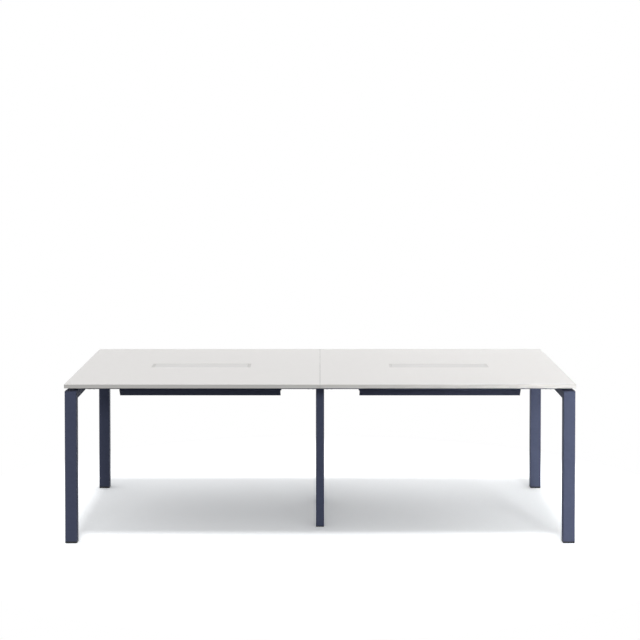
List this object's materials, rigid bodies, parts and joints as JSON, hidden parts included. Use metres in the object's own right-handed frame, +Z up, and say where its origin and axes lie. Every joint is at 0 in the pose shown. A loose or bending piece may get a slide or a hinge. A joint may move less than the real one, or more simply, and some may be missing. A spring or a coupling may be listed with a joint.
{
  "type": "conference table",
  "caption": "Rectangular conference table with a split white top, hinged cable flaps, cable trays below them and a square-tube steel frame on levelling feet.",
  "frame": {"origin": "on the floor below the middle of the top", "axes": "+X along the table, +Y from its front to its rear, +Z up"},
  "size_m": [2.4, 1.2, 0.75],
  "materials": {
    "white_faced_board": "white melamine face on particle board",
    "abs_edge_band": "white satin ABS edge band",
    "lid_aluminium": "light grey satin coat on aluminium",
    "flap_plastic": "light grey moulded plastic",
    "powder_coated_steel": "slate navy satin powder coat",
    "plated_steel": "zinc plated steel",
    "black_plastic": "black moulded polypropylene",
    "bumper_rubber": "grey rubber"
  },
  "bodies": {
    "table": {"beam_front_left": "powder_coated_steel", "beam_front_right": "powder_coated_steel", "beam_rear_left": "powder_coated_steel", "beam_rear_right": "powder_coated_steel", "beam_spigots": "plated_steel", "cable_tray_left": "powder_coated_steel", "cable_tray_right": "powder_coated_steel", "edge_band_left": "abs_edge_band", "edge_band_right": "abs_edge_band", "end_block_inner_left": "flap_plastic", "end_block_inner_right": "flap_plastic", "end_block_outer_left": "flap_plastic", "end_block_outer_right": "flap_plastic", "end_block_screws": "plated_steel", "end_rail_left": "powder_coated_steel", "end_rail_right": "powder_coated_steel", "foot_cap_front_left": "black_plastic", "foot_cap_front_right": "black_plastic", "foot_cap_mid_front": "black_plastic", "foot_cap_mid_rear": "black_plastic", "foot_cap_rear_left": "black_plastic", "foot_cap_rear_right": "black_plastic", "foot_inserts": "plated_steel", "leg_front_left": "powder_coated_steel", "leg_front_right": "powder_coated_steel", "leg_mid_front": "powder_coated_steel", "leg_mid_rear": "powder_coated_steel", "leg_rear_left": "powder_coated_steel", "leg_rear_right": "powder_coated_steel", "leg_top_plates": "powder_coated_steel", "lid_bumpers": "bumper_rubber", "mid_cross_rail": "powder_coated_steel", "mid_leg_top_plates": "powder_coated_steel", "seam_plates": "plated_steel", "seam_screws": "plated_steel", "spigot_screws": "plated_steel", "top_board_left": "white_faced_board", "top_board_right": "white_faced_board", "top_screws": "plated_steel", "top_spacers": "black_plastic", "tray_screws": "plated_steel"},
    "lid_left": {"flap_lid_left": "lid_aluminium", "hinge_pins_left": "plated_steel"},
    "lid_right": {"flap_lid_right": "lid_aluminium", "hinge_pins_right": "plated_steel"},
    "glide_front_left": {"glide_front_left": "black_plastic"},
    "glide_front_right": {"glide_front_right": "black_plastic"},
    "glide_rear_left": {"glide_rear_left": "black_plastic"},
    "glide_rear_right": {"glide_rear_right": "black_plastic"},
    "glide_mid_front": {"glide_mid_front": "black_plastic"},
    "glide_mid_rear": {"glide_mid_rear": "black_plastic"}
  },
  "joints": [
    {"name": "lid_left_hinge", "type": "hinge", "parent": "table", "child": "lid_left", "pos_m": [-0.6001, 0.0575, 0.747], "axis": [-1, 0, 0], "range_deg": [0, 110]},
    {"name": "lid_right_hinge", "type": "hinge", "parent": "table", "child": "lid_right", "pos_m": [0.6001, 0.0575, 0.747], "axis": [-1, 0, 0], "range_deg": [0, 110]},
    {"name": "level_front_left", "type": "slide", "parent": "table", "child": "glide_front_left", "axis": [0, 0, -1], "range_m": [0, 0.015]},
    {"name": "level_front_right", "type": "slide", "parent": "table", "child": "glide_front_right", "axis": [0, 0, -1], "range_m": [0, 0.015]},
    {"name": "level_rear_left", "type": "slide", "parent": "table", "child": "glide_rear_left", "axis": [0, 0, -1], "range_m": [0, 0.015]},
    {"name": "level_rear_right", "type": "slide", "parent": "table", "child": "glide_rear_right", "axis": [0, 0, -1], "range_m": [0, 0.015]},
    {"name": "level_mid_front", "type": "slide", "parent": "table", "child": "glide_mid_front", "axis": [0, 0, -1], "range_m": [0, 0.015]},
    {"name": "level_mid_rear", "type": "slide", "parent": "table", "child": "glide_mid_rear", "axis": [0, 0, -1], "range_m": [0, 0.015]}
  ]
}
